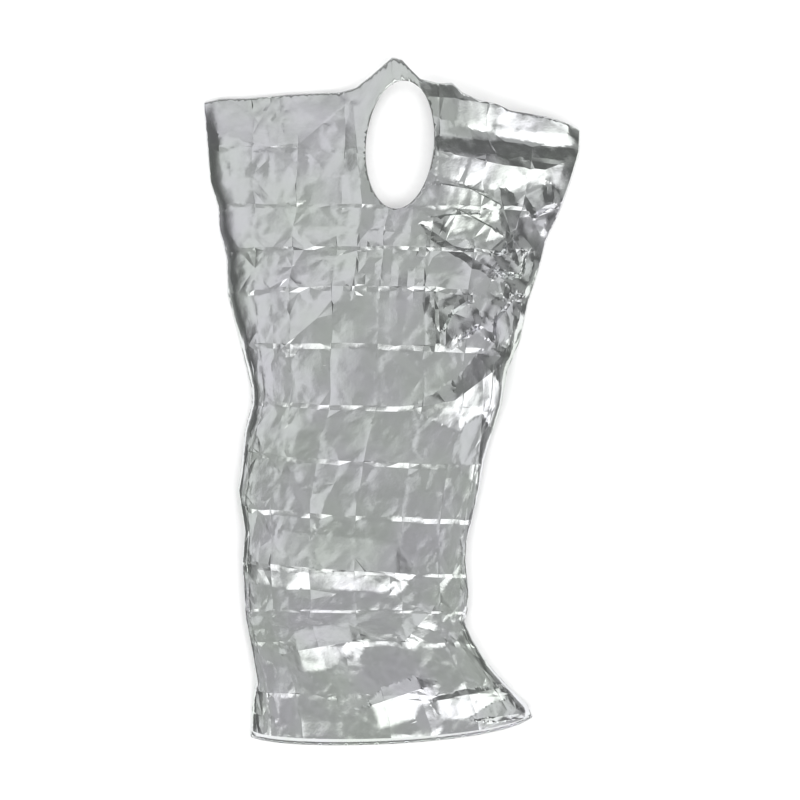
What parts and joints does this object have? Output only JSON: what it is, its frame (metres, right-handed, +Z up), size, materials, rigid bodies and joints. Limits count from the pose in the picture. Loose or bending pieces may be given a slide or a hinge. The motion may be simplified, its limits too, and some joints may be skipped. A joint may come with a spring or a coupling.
{
  "type": "foil emergency blanket bag",
  "caption": "Metallised film emergency blanket made as a bag, unfolded with its packing creases, with a hood and an oval face opening, lying flat on its back.",
  "frame": {"origin": "middle of the outline, on the surface that the bag lies on", "axes": "+Z up, out of the front of the bag; +Y from the foot to the hood; +X to the right, seen from above with the hood at the top"},
  "size_m": [0.9138, 1.6666, 0.0515],
  "materials": {
    "foil": "thin metallised film, bright and mirror-like, with fine creases",
    "foil_inside": "plain pale side of the same film, a soft satin gloss"
  },
  "bodies": {
    "root": {"front_panel": "foil", "back_panel": "foil_inside"}
  },
  "joints": []
}
